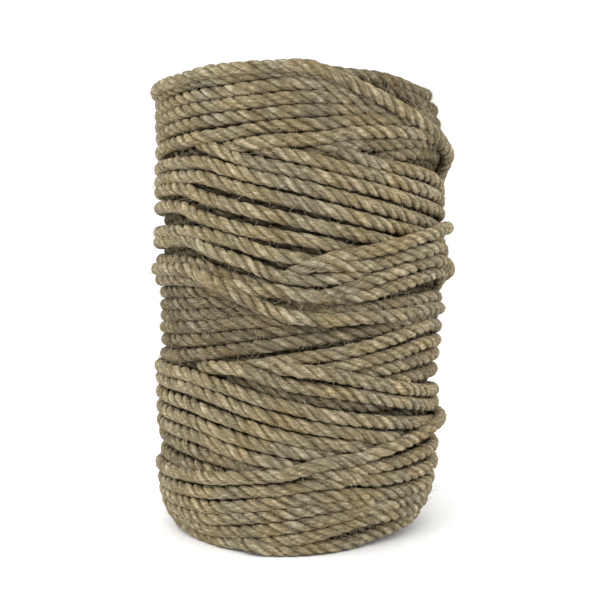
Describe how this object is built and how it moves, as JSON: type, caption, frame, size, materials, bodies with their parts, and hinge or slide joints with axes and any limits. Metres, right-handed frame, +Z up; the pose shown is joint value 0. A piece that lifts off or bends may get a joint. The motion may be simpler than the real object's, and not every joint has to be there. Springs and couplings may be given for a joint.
{
  "type": "roll of jute rope",
  "caption": "Upright roll of twisted jute rope, wound crosswise in tilted bands, with a plain hole down the middle where the winding mandrel was drawn out.",
  "frame": {"origin": "middle of the face that the roll stands on", "axes": "+Z up along the roll, -Y towards the viewer of the picture, +X to the viewer's right"},
  "size_m": [0.155, 0.1549, 0.2226],
  "materials": {
    "jute_rope": "matt, hairy natural jute, straw brown, darker between the turns"
  },
  "bodies": {
    "root": {"rope_roll": "jute_rope"}
  },
  "joints": []
}
